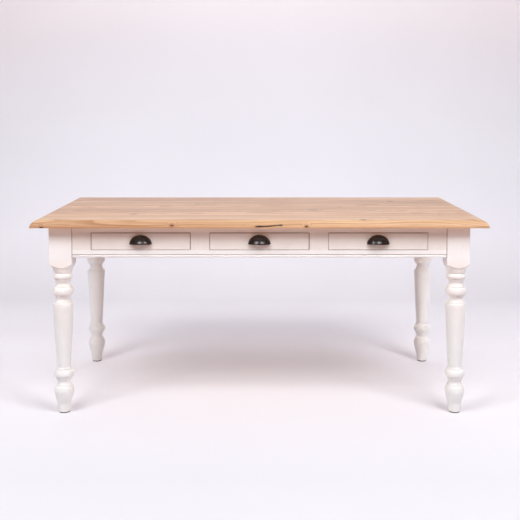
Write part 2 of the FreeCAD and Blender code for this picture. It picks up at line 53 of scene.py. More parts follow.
# %% Camera
PICTURE, FILM = 520, 36
EYE = {"focal_px": 887.17, "pitch": 3.29, "centre": (259.4, 156.0), "place": (0, -3.895, 1.2409)}


def new_object(name, data):
    """Object in the scene that shows the given mesh, lens or lamp."""
    thing = bpy.data.objects.new(name, data)
    bpy.context.scene.collection.objects.link(thing)
    return thing


def make_camera():
    """Camera at the eye's place, its picture shifted to the view's centre."""
    lens = bpy.data.cameras.new("camera")
    lens.sensor_width = FILM
    lens.lens = EYE["focal_px"] / PICTURE * FILM
    lens.shift_x = (PICTURE / 2 - EYE["centre"][0]) / PICTURE
    lens.shift_y = (EYE["centre"][1] - PICTURE / 2) / PICTURE
    camera = new_object("camera", lens)
    camera.location = EYE["place"]
    camera.rotation_euler = (math.radians(90 - EYE["pitch"]), 0, 0)
    bpy.context.scene.camera = camera
    return camera


print("lens:", round(make_camera().data.lens, 1), "mm")

# %% [markdown]
# ## Short words for node trees
# A material or a Geometry Nodes tree is a list of nodes and the wires between them. A few
# small helpers keep each recipe as short as a sentence: `fill` sets a node's sockets, `add`
# makes a node, `calc` does one sum, `near` says whether a number is close to another, and
# `screen` turns a colour as it is seen on a screen into the linear numbers of light.

# %% Helpers for nodes
def fill(tree, node, sockets):
    """Set a node's inputs, by name or number, to values or to outputs."""
    for key, source in dict(sockets).items():
        if isinstance(source, bpy.types.NodeSocket):
            tree.links.new(source, node.inputs[key])
        else:
            node.inputs[key].default_value = source


def add(tree, kind, sockets=(), **settings):
    """One new node, with its sockets filled."""
    node = tree.nodes.new(kind)
    for name, setting in settings.items():
        setattr(node, name, setting)
    fill(tree, node, sockets)
    return node


def calc(tree, operation, *values):
    """One sum on numbers or sockets."""
    return add(tree, "ShaderNodeMath", enumerate(values), operation=operation).outputs[0]


def times(tree, first, second):
    """Product of two numbers or sockets."""
    return calc(tree, "MULTIPLY", first, second)


def scaled(tree, number, factor, offset):
    """Number times factor, plus offset."""
    return calc(tree, "MULTIPLY_ADD", number, factor, offset)


def xyz(tree, vector):
    """X, Y and Z of a vector, as three sockets."""
    return add(tree, "ShaderNodeSeparateXYZ", {0: vector}).outputs


def near(tree, number, centre, reach):
    """1 within reach of centre, and 0 elsewhere."""
    return calc(tree, "LESS_THAN", calc(tree, "ABSOLUTE", calc(
        tree, "SUBTRACT", number, centre)), reach)


def screen(red, green, blue):
    """Screen colour, 0 to 255, as linear red, green, blue and a full alpha."""
    parts = [channel / 255 for channel in (red, green, blue)]
    return tuple(p / 12.92 if p < 0.04045 else ((p + 0.055) / 1.055) ** 2.4 for p in parts) + (1,)


print("mid grey in light:", round(screen(128, 128, 128)[0], 3))

# %% [markdown]
# ## Words for surfaces
# Wood, paint and metal are all built from the same few things: a noise that is stretched
# along the grain, a ramp that turns a number into a colour, and a bump that turns the same
# number into a height. Every one of them reads Object coordinates, so a pattern keeps its
# real size and goes through the solid, and shows end grain where a board is cut.

# %% Helpers for surfaces
def new_finish(name):
    """Empty material: its tree, its shader and the solid position of each point."""
    finish = bpy.data.materials.new(name)
    finish.use_nodes = True
    tree = finish.node_tree
    tree.nodes.clear()
    shader = add(tree, "ShaderNodeBsdfPrincipled")
    add(tree, "ShaderNodeOutputMaterial", {"Surface": shader.outputs[0]})
    where = add(tree, "ShaderNodeTexCoord").outputs["Object"]
    return finish, tree, shader, where


def dress(thing, finish):
    """One finish for a whole object, in place of any that it has."""
    thing.data.materials.clear()
    thing.data.materials.append(finish)


def place(tree, where, scale=(1, 1, 1), turn=(0, 0, 0), shift=(0, 0, 0)):
    """Position turned, stretched and shifted."""
    return add(tree, "ShaderNodeMapping", {
        "Vector": where, "Scale": scale, "Rotation": turn, "Location": shift}).outputs[0]


def noise(tree, where, scale, detail, roughness=0.5):
    """Cloudy number around 0.5."""
    return add(tree, "ShaderNodeTexNoise", {
        "Vector": where, "Scale": scale, "Detail": detail, "Roughness": roughness}).outputs[0]


def drift(tree, along, scale, reach, seed):
    """Number that wanders slowly up to half of reach each way as along goes on."""
    cloud = add(tree, "ShaderNodeTexNoise", {
        "W": calc(tree, "ADD", along, seed), "Scale": scale, "Detail": 1},
        noise_dimensions="1D").outputs[0]
    return scaled(tree, cloud, reach, -reach / 2)


def ramp(tree, number, stops):
    """Colour for a number, from (position, colour) stops."""
    node = add(tree, "ShaderNodeValToRGB", {0: number})
    points = node.color_ramp.elements
    while len(points) < len(stops):
        points.new(1)
    for point, (position, shade) in zip(points, stops):
        point.position, point.color = position, shade
    return node.outputs[0]


def span(tree, number, low, high, first=0.0, last=1.0):
    """Number mapped from low..high to first..last and held there."""
    return add(tree, "ShaderNodeMapRange", {
        0: number, 1: low, 2: high, 3: first, 4: last}, interpolation_type="SMOOTHSTEP").outputs[0]


def mix(tree, amount, first, second, kind="MIX"):
    """Two colours mixed."""
    return add(tree, "ShaderNodeMix", {0: amount, 6: first, 7: second},
               data_type="RGBA", blend_type=kind).outputs[2]


def bump(tree, height, depth):
    """Relief: depth is the size of one step of height, in metres."""
    return add(tree, "ShaderNodeBump", {"Height": height, "Distance": depth}).outputs[0]


print("surface words ready")

# %% [markdown]
# ## Wood
# A board is a slice out of a trunk, so its figure is the trunk's rings cut by the board's
# faces. The recipe keeps that: each board has a pith line that wanders somewhere below it,
# and a point's ring number is its distance to the pith divided by the ring width. Long
# arches appear on the flat faces and curved rings on the ends, with no drawing at all.
# Knots are dark spots that push the rings aside, and a split is a flat dark knot.

# %% Wood recipe
# Marks per metre, along the grain and in the two ways across it.
STRETCH = {"warp": (1.6, 11, 11), "fibre": (5, 210, 210), "pore": (26, 1300, 1300),
           "cloud": (1.3, 6, 6), "streak": (0.7, 24, 24)}
GRAIN_TURN = {"x": (0, 0, 0), "y": (0, 0, -math.pi / 2)}
WANDER = ((1.1, 0.09), (0.8, 0.07))    # the pith's drift across and up: how often, how far
WARP = 0.016           # how far the rings waver, in metres
PUSH = 0.011           # how far a knot pushes the rings aside
KNOT_LENGTH = 1.7      # a knot's length for each unit of its width


def knot_field(tree, where, centre, reach, turn=0.0):
    """Distance to a knot or split, 1 at its rim."""
    local = add(tree, "ShaderNodeMapping", {
        "Vector": where, "Location": centre, "Rotation": (0, turn, 0), "Scale": reach},
        vector_type="TEXTURE").outputs[0]
    return add(tree, "ShaderNodeVectorMath", {0: local}, operation="LENGTH").outputs["Value"]


def ring_number(tree, plank, seed, pith, ring, fields):
    """Distance to a pith line that wanders, in rings; each field pushes the rings aside."""
    axes = xyz(tree, plank)
    warp = noise(tree, place(tree, plank, STRETCH["warp"], shift=(seed, seed, 0)), 1.0, 2)
    warp = scaled(tree, warp, WARP, -WARP / 2)
    squares = []
    for axis, middle, wander, start in zip(axes[1:], pith, WANDER, (seed, seed + 7.3)):
        offset = calc(tree, "ADD", axis, drift(tree, axes[0], *wander, start))
        squares.append(calc(tree, "POWER", calc(tree, "SUBTRACT", offset, middle), 2.0))
    radius = calc(tree, "ADD", calc(tree, "SQRT", calc(tree, "ADD", *squares)), warp)
    for field in fields:
        radius = calc(tree, "ADD", radius, span(tree, field, 3.5, 0.6, 0.0, PUSH))
    return calc(tree, "DIVIDE", radius, ring)


def wood(name, shades, grain, seed, pith, ring, gloss, tone=1.0, contrast=1.0, knots=(),
         splits=()):
    """Solid timber: shades are early wood, late wood, pores and knots."""
    finish, tree, shader, where = new_finish(name)
    plank = place(tree, where, turn=GRAIN_TURN[grain])
    fields = [knot_field(tree, where, centre, (size * KNOT_LENGTH, size, size))
              for centre, size in knots]
    # Each ring darkens towards its late wood, and no two years are alike.
    rings = ring_number(tree, plank, seed, pith, ring, fields)
    late = span(tree, calc(tree, "FRACT", rings), 0.25, 0.93)
    years = add(tree, "ShaderNodeTexWhiteNoise", {"W": calc(tree, "FLOOR", rings)},
                noise_dimensions="1D").outputs[0]
    late = times(tree, late, scaled(tree, years, 0.7, 0.3))
    # Over the rings lie fibres, pores, slow clouds and long streaks.
    fibre = noise(tree, place(tree, plank, STRETCH["fibre"], shift=(seed, 0, 0)), 1.0, 4, 0.6)
    pores = noise(tree, place(tree, plank, STRETCH["pore"], shift=(0, seed, 0)), 1.0, 2)
    pores = span(tree, pores, 0.60, 0.78)
    cloud = noise(tree, place(tree, plank, STRETCH["cloud"], shift=(seed, 0, seed)), 1.0, 2)
    streak = noise(tree, place(tree, plank, STRETCH["streak"], shift=(0, seed, seed)), 1.0, 3)
    streak = span(tree, streak, 0.35, 0.68, 0.0, 0.42 * contrast)
    figure = scaled(tree, fibre, 0.9 * contrast, -0.25 * contrast)
    figure = calc(tree, "ADD", times(tree, late, 0.55 * contrast), figure)
    figure = scaled(tree, cloud, 0.5 * contrast, calc(tree, "ADD", streak, figure))
    # The figure picks the colour; pores, knots and splits are laid over it.
    early, dark, pore, knot = (screen(*shade) for shade in shades)
    body = ramp(tree, scaled(tree, figure, 1.0, -0.15 * contrast), [(0.0, early), (1.0, dark)])
    body = mix(tree, times(tree, pores, 0.45), body, pore)
    body = mix(tree, 1.0, body, (tone, tone, tone, 1), "MULTIPLY")
    for field in fields:
        body = mix(tree, span(tree, field, 2.4, 0.7, 0.0, 0.5), body, dark)
        body = mix(tree, span(tree, field, 1.15, 0.55, 0.0, 0.92), body, knot)
    hole = 0.0
    for centre, reach, slope in splits:
        crack = span(tree, knot_field(tree, where, centre, reach, slope), 1.25, 0.7)
        body = mix(tree, times(tree, crack, 0.95), body, knot)
        hole = calc(tree, "MAXIMUM", crack, hole)
    # Pores are dull and deep, late wood stands up a little, and a split is the deepest.
    sheen = scaled(tree, pores, 0.18, gloss - 0.04)
    relief = scaled(tree, late, 0.25, times(tree, fibre, 0.5))
    relief = calc(tree, "SUBTRACT", relief, times(tree, pores, 0.7))
    if splits:
        relief = calc(tree, "SUBTRACT", relief, times(tree, hole, 3.0))
    fill(tree, shader, {"Base Color": body, "Roughness": scaled(tree, fibre, 0.08, sheen),
                        "Normal": bump(tree, relief, 0.00025)})
    return finish


print("wood recipe ready")

# %% [markdown]
# ## The tabletop's boards
# Seven oiled boards are glued edge to edge. Each is its own tree, so each gets its own pith,
# its own seed and a slightly lighter or darker tone; that is what makes the joints show. The
# front board has a calmer figure than the others, small black knots on its rounded edge, and
# one long split.

# %% Tabletop finishes
OAK = ((234, 197, 157), (165, 112, 71), (118, 74, 46), (50, 28, 20))
FRONT_KNOTS = [((0.184, -0.45, 0.767), 0.0048), ((-0.343, -0.449, 0.771), 0.005),
               ((-0.853, -0.45, 0.763), 0.0045), ((0.41, -0.42, 0.789), 0.008)]
FRONT_SPLITS = [((0.0, -0.45, 0.7665), (0.018, 0.012, 0.0034), -0.02),
                ((0.083, -0.45, 0.7715), (0.009, 0.010, 0.0034), 0.0),
                ((0.038, -0.45, 0.768), (0.054, 0.012, 0.0026), -0.075)]
# Number from the front, tone, contrast of the figure, place of the pith, knots and splits.
BOARDS = [
    (1, 0.96, 0.72, (-0.41, 0.70), FRONT_KNOTS, FRONT_SPLITS),
    (2, 1.04, 1, (-0.20, 0.66), [((-0.52, -0.24, 0.79), 0.008), ((0.74, -0.27, 0.79), 0.004)], ()),
    (3, 0.97, 1, (-0.13, 0.71), [((0.23, -0.10, 0.79), 0.010)], ()),
    (4, 1.03, 1, (0.04, 0.64), [((0.357, 0.014, 0.79), 0.005)], ()),
    (5, 0.95, 1, (0.11, 0.69), [((-0.28, 0.13, 0.79), 0.007), ((-0.79, 0.10, 0.79), 0.003)], ()),
    (6, 0.98, 1, (0.27, 0.66), [((0.61, 0.25, 0.79), 0.011)], ()),
    (7, 0.99, 1, (0.36, 0.70), [((-0.66, 0.40, 0.79), 0.005), ((0.17, 0.36, 0.79), 0.006)], ()),
]
for number, tone, contrast, pith, knots, splits in BOARDS:
    oak = wood(f"oiled_board_{number}", OAK, "x", number * 3.7, pith, 0.0052, 0.34,
               tone, contrast, knots, splits)
    dress(nodes[f"top_board_{number}"], oak)
print("boards dressed:", len(BOARDS))

# %% [markdown]
# ## Unpainted wood inside
# The drawer boxes, runners, kickers, stops and braces are plain planed pine. Only the
# direction of the grain differs, so one recipe is poured two ways. The drawer bottoms are
# plywood: broad pale figure on the faces, thin stripes of glued plies on the cut edges.

# %% Inside finishes
PINE = ((226, 193, 148), (198, 150, 96), (186, 142, 96), (104, 62, 34))
pine_along = wood("pine_lengthwise", PINE, "x", 2.0, (0.1, 0.6), 0.0042, 0.55)
pine_deep = wood("pine_front_to_back", PINE, "y", 5.0, (0.3, 0.62), 0.0042, 0.55)
PLY_PAIR = 0.0024      # one light and one dark ply together


def plywood():
    """Birch plywood: figured faces, and striped plies on the upright edges."""
    finish, tree, shader, where = new_finish("birch_plywood")
    face = noise(tree, place(tree, where, scale=(2.2, 26, 26)), 1.0, 4, 0.6)
    fibre = noise(tree, place(tree, where, scale=(14, 420, 420)), 1.0, 3, 0.6)
    shade = ramp(tree, scaled(tree, fibre, 0.4, times(tree, face, 0.6)),
                 [(0.25, screen(231, 205, 163)), (0.75, screen(206, 170, 122))])
    up = xyz(tree, add(tree, "ShaderNodeNewGeometry").outputs["Normal"])[2]
    edge = near(tree, up, 0.0, 0.5)
    layers = calc(tree, "SINE", times(tree, xyz(tree, where)[2], math.tau / PLY_PAIR))
    layers = span(tree, layers, -0.3, 0.3)
    stripes = mix(tree, layers, screen(150, 104, 64), screen(220, 188, 142))
    fill(tree, shader, {
        "Base Color": mix(tree, edge, shade, stripes),
        "Roughness": scaled(tree, fibre, 0.2, 0.45), "Normal": bump(tree, fibre, 0.0001)})
    return finish


birch_ply = plywood()
print("inside woods:", pine_along.name, pine_deep.name, birch_ply.name)

# %% [markdown]
# ## Paint
# The base is brush-painted in a warm off-white. Close to, such paint is never flat: the
# bristles leave fine ridges along each member, the coat is a touch thicker in some places,
# and the grain under it still shows as a faint relief. The brush follows each member's
# length, so there is one paint for upright pieces, one for long rails, one for the sides.
# The front's own paint stops inside the drawer openings, where the wood stays bare; deeper in,
# the bare wood is painted darker, as the gaps' shade. Painted shade darkens the quirk above the
# bead, the drawers' top edges under the rail, and three of their sides. Beside each leg's block
# a dark line is painted shadow of the proud block, with dust in the joint. The stiles and drawer
# fronts take a darker coat, painted shade of the top's overhang, and the top rail right under it
# a lighter one, painted light against that shade. The blocks stand close under the oiled top,
# which throws warm light on them, and the bottom rail takes the warm floor's light, so their coat
# is painted a touch cooler against it.

# %% Paint recipe
# Three coats, each from thin to thick.
COAT = ((238, 234, 232), (244, 241, 239), (247, 244, 242))
LEG_COAT = ((240, 234, 231), (246, 241, 238), (249, 244, 241))
# Painted shade: the stiles and drawer fronts under the top's overhang take this darker coat.
SHADED_FRONT_COAT = ((232, 228, 225), (238, 234, 231), (241, 237, 234))
# Painted tint against warm light, for coats that the oiled top or the warm floor lights.
COOLER_AGAINST_WARM_LIGHT = (1.0, 1.05, 1.085, 1.0)
# On the front the drawers repeat at PITCH, each in the middle of its bay. A mark is its
# centre and half its width, in metres.
PITCH, BAYS_START, BAY_MIDDLE = 0.471333, -0.707, 0.235667
# Bare wood starts behind the face; towards DARK_TO it is painted darker, as shade in the gaps.
BARE_FROM, DARK_TO, BARE_ABOVE = (-0.4024, -0.4014), (-0.398, -0.395), 0.66
# The quirk, the joint beside each block and the drawers' edges carry painted shade.
QUIRK, SEAM = (0.6482, 0.0014), 0.7426
TOP_EDGE, DRAWER_WIDTH, DRAWER_HEIGHT = (0.735, 0.0024), (BAY_MIDDLE, 0.197), (0.702, 0.033)
LEFT_EDGE, RIGHT_EDGE = (BAY_MIDDLE - 0.1945, 0.001), (BAY_MIDDLE + 0.1985, 0.001)
LEFT_DRAWER, MIDDLE_SIDE = (-PITCH, 0.21), (0.1985, 0.01)


def front_marks_and_shade(tree, shade, where, marks):
    """Front coat with painted shade and joint dust, and bare wood behind its face."""
    side, depth, height = xyz(tree, where)
    behind = times(tree, span(tree, depth, *BARE_FROM),
                   calc(tree, "GREATER_THAN", height, BARE_ABOVE))
    timber = ramp(tree, marks, [(0.3, screen(216, 181, 135)), (0.7, screen(184, 142, 98))])
    # Deeper into the gap the bare wood is painted darker: painted shade.
    timber = mix(tree, span(tree, depth, *DARK_TO), screen(118, 84, 62), timber)
    shade = mix(tree, behind, shade, timber)
    # Painted shade in the quirk above the bead.
    quirk_shade = near(tree, height, *QUIRK)
    shade = mix(tree, times(tree, quirk_shade, 0.75), shade, screen(176, 142, 122))
    # Beside each leg's block: painted shadow of the proud block, with dust in the joint.
    seam_shadow_and_dust = calc(tree, "GREATER_THAN", calc(tree, "ABSOLUTE", side), SEAM)
    shade = mix(tree, times(tree, seam_shadow_and_dust, 0.8), shade, screen(122, 92, 74))
    # Painted shade in the gaps: along the drawers' top edges under the rail, and at three sides.
    bay = calc(tree, "MODULO", calc(tree, "ADD", side, -BAYS_START), PITCH)
    top = times(tree, near(tree, bay, *DRAWER_WIDTH), near(tree, height, *TOP_EDGE))
    ends = calc(tree, "MAXIMUM", near(tree, bay, *LEFT_EDGE), near(tree, bay, *RIGHT_EDGE))
    ends = times(tree, ends, near(tree, height, *DRAWER_HEIGHT))
    shaded_sides = calc(tree, "MAXIMUM", near(tree, side, *LEFT_DRAWER), near(tree, side, *MIDDLE_SIDE))
    gap_shade = calc(tree, "MAXIMUM", times(tree, top, 0.5), times(tree, times(tree, ends, shaded_sides), 0.7))
    return mix(tree, gap_shade, shade, screen(140, 104, 80))


def paint(name, bristles, coat_shades=COAT, front=False, cool_from=0.0):
    """Satin paint; bristles is the stretch of the brush marks along X, Y and Z. With front, it
    gets the front's marks and painted shade; above cool_from, if given, it is painted a touch
    cooler against warm light."""
    finish, tree, shader, where = new_finish(name)
    marks = noise(tree, place(tree, where, scale=bristles), 1.0, 4, 0.65)
    coat = noise(tree, where, 9.0, 3, 0.6)
    grain = noise(tree, place(tree, where, scale=[3.2 * b for b in bristles]), 1.0, 2)
    grain = span(tree, grain, 0.58, 0.75)
    level = scaled(tree, marks, 0.45, times(tree, coat, 0.55))
    thin, even, thick = (screen(*shade) for shade in coat_shades)
    shade = ramp(tree, level, [(0.30, thin), (0.5, even), (0.70, thick)])
    shade = mix(tree, times(tree, grain, 0.12), shade, screen(205, 190, 178))
    if cool_from:
        cool = span(tree, xyz(tree, where)[2], cool_from, cool_from + 0.04)
        shade = mix(tree, cool, shade, COOLER_AGAINST_WARM_LIGHT, "MULTIPLY")
    if front:
        shade = front_marks_and_shade(tree, shade, where, marks)
    relief = calc(tree, "SUBTRACT", marks, times(tree, grain, 0.5))
    fill(tree, shader, {"Base Color": shade, "Roughness": scaled(tree, level, 0.22, 0.30),
                        "Normal": bump(tree, relief, 0.00018)})
    return finish


UPRIGHT, LONG, DEEP = (260, 260, 9), (9, 260, 260), (260, 9, 260)
# Above 0.6 m the blocks' coat is painted cooler against the oiled top's warm light.
paint_upright = paint("warm_white_upright", UPRIGHT, LEG_COAT, cool_from=0.6)
paint_long = paint("warm_white_long", LONG)
paint_deep = paint("warm_white_deep", DEEP)
front_upright = paint("warm_white_front_upright", UPRIGHT, SHADED_FRONT_COAT, front=True)
front_long = paint("warm_white_front_long", LONG, SHADED_FRONT_COAT, front=True)
# Painted light: the top rail, right under the overhang, keeps the lighter coat against its shade.
front_high = paint("warm_white_front_high", LONG, front=True)
# The bottom rail's coat is painted cooler against the warm floor's light.
front_low = paint("warm_white_front_low", LONG, LEG_COAT, front=True, cool_from=0.5)
print("paints:", paint_upright.name, paint_long.name, paint_deep.name)

# %% [markdown]
# ## Metal and glides
# The cup pulls are cast iron with a dark bronze skin: nearly black, a little brown where the
# hand rubs, with a soft broken gloss. Screws, bolts and nuts are bright zinc with a faint
# yellow cast. The glides under the feet are faced with grey-brown felt.

# %% Metal recipe
def metal(name, dark, light, metallic, gloss, grain, depth):
    """Cast, plated or felted surface: a cloud of two shades with a finer grain in it."""
    finish, tree, shader, where = new_finish(name)
    cloud = noise(tree, where, grain, 4, 0.6)
    fine = noise(tree, where, grain * 9, 2)
    shade = ramp(tree, cloud, [(0.35, screen(*dark)), (0.70, screen(*light))])
    fill(tree, shader, {
        "Base Color": shade, "Metallic": metallic,
        "Roughness": scaled(tree, cloud, 0.16, gloss - 0.08),
        "Normal": bump(tree, scaled(tree, fine, 0.5, cloud), depth)})
    return finish


bronze = metal("dark_bronze_iron", (24, 15, 13), (34, 21, 18), 0.0, 0.26, 60, 0.00002)
bronze.node_tree.nodes["Principled BSDF"].inputs["Specular IOR Level"].default_value = 0.6
zinc = metal("zinc_plate", (168, 166, 158), (204, 203, 196), 1.0, 0.32, 160, 0.00003)
glide_felt = metal("glide_felt", (112, 98, 86), (136, 121, 108), 0.0, 0.9, 900, 0.0002)
print("metals:", bronze.name, zinc.name, glide_felt.name)

# %% [markdown]
# ## A lathe made of nodes
# A turner presses one profile against a spinning bar. The tree below does the same: it
# reads a row of profile points, lays a grid with one row for each of them and one column for
# each step round, and puts every grid point at its profile radius. What the lathe doesn't
# reach stays square: where the bar's flat side is nearer than the profile, the flat side
# wins, and that gives the arched shoulders under a leg's block without any cutting.

# %% The lathe tree
TOUCH = 0.00001        # points closer than this are one point
FAR = 9.0              # a limit that is never reached
SQUARE = 70.0          # how square the bar is: 2 would be round
BLEND = 0.0016         # how softly the profile runs out into the flat sides


def new_tree(name, inputs):
    """Geometry Nodes tree with named inputs; it gives the tree and their sockets."""
    tree = bpy.data.node_groups.new(name, "GeometryNodeTree")
    tree.interface.new_socket("Geometry", in_out="OUTPUT", socket_type="NodeSocketGeometry")
    for label, kind, *start in [("Geometry", "Geometry"), *inputs, ("Finish", "Material")]:
        socket = tree.interface.new_socket(label, in_out="INPUT", socket_type="NodeSocket" + kind)
        if start:
            socket.default_value = start[0]
    return tree, add(tree, "NodeGroupInput").outputs


def end_tree(tree, geometry, finish):
    """Last three nodes: real geometry, its finish, and the way out."""
    real = add(tree, "GeometryNodeRealizeInstances", {0: geometry})
    dressed = add(tree, "GeometryNodeSetMaterial", {
        "Geometry": real.outputs[0], "Material": finish})
    add(tree, "NodeGroupOutput", {0: dressed.outputs[0]})
    return tree


def lathe_tree():
    """Grid wrapped round an axis, with its radius read from the rows of a profile."""
    tree, given = new_tree("lathe", [
        ("Columns", "Int", 96), ("From Angle", "Float", 0.0), ("Sweep", "Float", math.tau),
        ("Crowd", "Float", 0.0), ("Bar Half", "Float", FAR), ("Chamfer Reach", "Float", FAR),
        ("Chamfer From", "Float", FAR), ("Chamfer Side", "Float", 0.0),
        ("Centre", "Vector", (0, 0, 0))])
    rows = add(tree, "GeometryNodeAttributeDomainSize", {0: given["Geometry"]},
               component="MESH").outputs["Point Count"]
    last_row = calc(tree, "SUBTRACT", rows, 1.0)
    last_column = calc(tree, "SUBTRACT", given["Columns"], 1.0)
    grid = add(tree, "GeometryNodeMeshGrid", {
        "Size X": last_row, "Size Y": last_column, "Vertices X": rows,
        "Vertices Y": given["Columns"]}).outputs["Mesh"]
    spot = add(tree, "GeometryNodeInputPosition").outputs[0]
    at = xyz(tree, spot)
    row = calc(tree, "ROUND", scaled(tree, last_row, 0.5, at[0]))
    # Columns crowd towards the bar's four corners, where the shape bends most.
    turn = calc(tree, "DIVIDE", scaled(tree, last_column, 0.5, at[1]), last_column)
    angle = scaled(tree, turn, given["Sweep"], given["From Angle"])
    pull_in = calc(tree, "SINE", times(tree, angle, 4.0))
    angle = scaled(tree, pull_in, calc(tree, "DIVIDE", given["Crowd"], 4.0), angle)
    profile = add(tree, "GeometryNodeSampleIndex", {
        "Geometry": given["Geometry"], "Value": spot, "Index": row},
        data_type="FLOAT_VECTOR", domain="POINT").outputs[0]
    wide, deep, high = xyz(tree, profile)
    cosine, sine = calc(tree, "COSINE", angle), calc(tree, "SINE", angle)
    # The bar's flat sides, and the one corner that is cut off above a given height.
    flat = calc(tree, "POWER", calc(tree, "ADD", *(
        calc(tree, "POWER", calc(tree, "ABSOLUTE", part), SQUARE) for part in (cosine, sine))),
        1 / SQUARE)
    limit = calc(tree, "DIVIDE", given["Bar Half"], flat)
    towards = calc(tree, "MAXIMUM", 0.02, calc(
        tree, "COSINE", calc(tree, "SUBTRACT", angle, given["Chamfer Side"])))
    above = calc(tree, "GREATER_THAN", high, given["Chamfer From"])
    chamfer = calc(tree, "DIVIDE", given["Chamfer Reach"], times(tree, towards, above))
    chamfer = calc(tree, "ADD", chamfer, calc(tree, "SUBTRACT", 1.0, above))
    limit = calc(tree, "MINIMUM", limit, chamfer)
    # The profile or the limit, whichever is nearer the axis.
    reach = calc(tree, "SMOOTH_MIN", wide, limit, BLEND)
    shrink = calc(tree, "DIVIDE", reach, calc(tree, "MAXIMUM", wide, 0.0001))
    turned = add(tree, "ShaderNodeCombineXYZ", {
        0: times(tree, reach, cosine), 1: times(tree, times(tree, deep, shrink), sine), 2: high})
    placed = add(tree, "ShaderNodeVectorMath", {0: turned.outputs[0], 1: given["Centre"]},
                 operation="ADD").outputs[0]
    body = add(tree, "GeometryNodeSetPosition", {"Geometry": grid, "Position": placed})
    closed = add(tree, "GeometryNodeMergeByDistance", {
        "Geometry": body.outputs[0], "Distance": TOUCH})
    return end_tree(tree, closed.outputs[0], given["Finish"])


lathe = lathe_tree()
print("lathe nodes:", len(lathe.nodes))

# %% [markdown]
# ## Running a tree
# A modifier carries the tree, its inputs are set by their identifiers, and the evaluated
# result is copied into a plain mesh. The faces are turned outwards, shaded smooth, and left
# crisp where two faces meet at a real angle.

# %% Run a tree on a mesh
def finish_mesh(mesh, crisp=28):
    """Outward faces, smooth shading, and sharp edges past an angle in degrees."""
    work = bmesh.new()
    work.from_mesh(mesh)
    bmesh.ops.dissolve_degenerate(work, dist=1e-6, edges=work.edges)
    bmesh.ops.recalc_face_normals(work, faces=work.faces)
    work.to_mesh(mesh)
    work.free()
    mesh.shade_smooth()
    mesh.set_sharp_from_angle(angle=math.radians(crisp))


def run_tree(name, tree, start, **sizes):
    """New object from a tree run on a start mesh, with its named inputs set first."""
    source = new_object(name + "_source", start)
    modifier = source.modifiers.new("tree", "NODES")
    modifier.node_group = tree
    for item in tree.interface.items_tree:
        key = item.name.replace(" ", "_").lower()
        if getattr(item, "in_out", "") == "INPUT" and key in sizes:
            modifier[item.identifier] = sizes[key]
    source.update_tag()
    depsgraph = bpy.context.evaluated_depsgraph_get()
    mesh = bpy.data.meshes.new_from_object(source.evaluated_get(depsgraph))
    bpy.data.objects.remove(source)
    mesh.name = name
    return new_object(name, mesh)


def point_mesh(name, points):
    """Mesh of loose points, in order."""
    mesh = bpy.data.meshes.new(name)
    mesh.from_pydata(points, [], [])
    return mesh


print("ready to turn")

# %% [markdown]
# ## The leg's profile
# A turner reads a leg from the bottom as named forms: foot, vase, bead, neck, ring, shaft,
# knee, neck, ring, cove, bead, collar. Each is a height and three radii, and each becomes an
# arc. Where one form ends wider than the next begins there is a crisp step; its corner is
# eased by under a millimetre, because paint never leaves a razor edge.

# %% Leg profile
MM = 0.001
BLANK = 64.8           # beyond the bar's corners, so that the block stays square
# Name, height, and the radius at the bottom, half way and at the top, in millimetres.
LEG_FORMS = [
    ("foot", 34, 23.8, 25.2, 26.6), ("vase", 48, 26.6, 33.6, 38.9),
    ("vase_top", 23, 38.9, 38.5, 33.8), ("vase_fillet", 6, 31.6, 31.6, 31.6),
    ("low_neck", 21, 29.4, 25.3, 26.2), ("low_fillet", 8, 30.6, 30.8, 30.6),
    ("low_groove", 2, 29.2, 29.2, 29.2), ("low_ring", 30, 34.2, 39.2, 33.4),
    ("shaft_fillet", 10, 30.8, 30.6, 28.6), ("shaft", 238, 26.9, 34.2, 40.4),
    ("knee", 23, 40.8, 41.3, 39), ("knee_fillet", 5, 34.2, 34.2, 34.2),
    ("high_neck", 22, 32.6, 28.6, 27.6), ("ring_fillet", 6, 33.2, 33.6, 33.2),
    ("ring_groove", 2, 31.2, 31.2, 31.2), ("high_ring", 29, 37.4, 41.8, 36.4),
    ("cove_fillet", 6, 33.8, 33.8, 33.8), ("cove", 20, 32.8, 28.9, 28.2),
    ("bead_fillet", 8, 33, 33.2, 33), ("bead_groove", 2, 31, 31, 31),
    ("high_bead", 21, 36.2, 38.4, 33.6), ("collar_groove", 6, 33, 33, 33),
    ("collar", 17, 37, 38.6, 39.6), ("shoulder", 18, 41, 52, BLANK),
]
GLIDE_TOP, CHAMFER_FROM, BLOCK_TOP = 4, 651, 760
EASE = 0.7             # how far back a painted corner is eased
STEPS = {"shaft": 22, "shoulder": 20, "vase": 14}


def arc_points(low, middle, high, steps):
    """Points on the circle through three (radius, height) points, from low to high."""
    (ax, ay), (bx, by), (cx, cy) = low, middle, high
    twist = (bx - ax) * (cy - by) - (by - ay) * (cx - bx)
    if abs(twist) < 1e-6:
        return [low, high]
    scale = 2 * (ax * (by - cy) + bx * (cy - ay) + cx * (ay - by))
    aa, bb, cc = ax * ax + ay * ay, bx * bx + by * by, cx * cx + cy * cy
    ox = (aa * (by - cy) + bb * (cy - ay) + cc * (ay - by)) / scale
    oy = (aa * (cx - bx) + bb * (ax - cx) + cc * (bx - ax)) / scale
    radius = math.hypot(ax - ox, ay - oy)
    start = math.atan2(ay - oy, ax - ox)
    sweep = math.remainder(math.atan2(cy - oy, cx - ox) - start, math.tau)
    return [(ox + radius * math.cos(start + sweep * i / steps),
             oy + radius * math.sin(start + sweep * i / steps)) for i in range(steps + 1)]


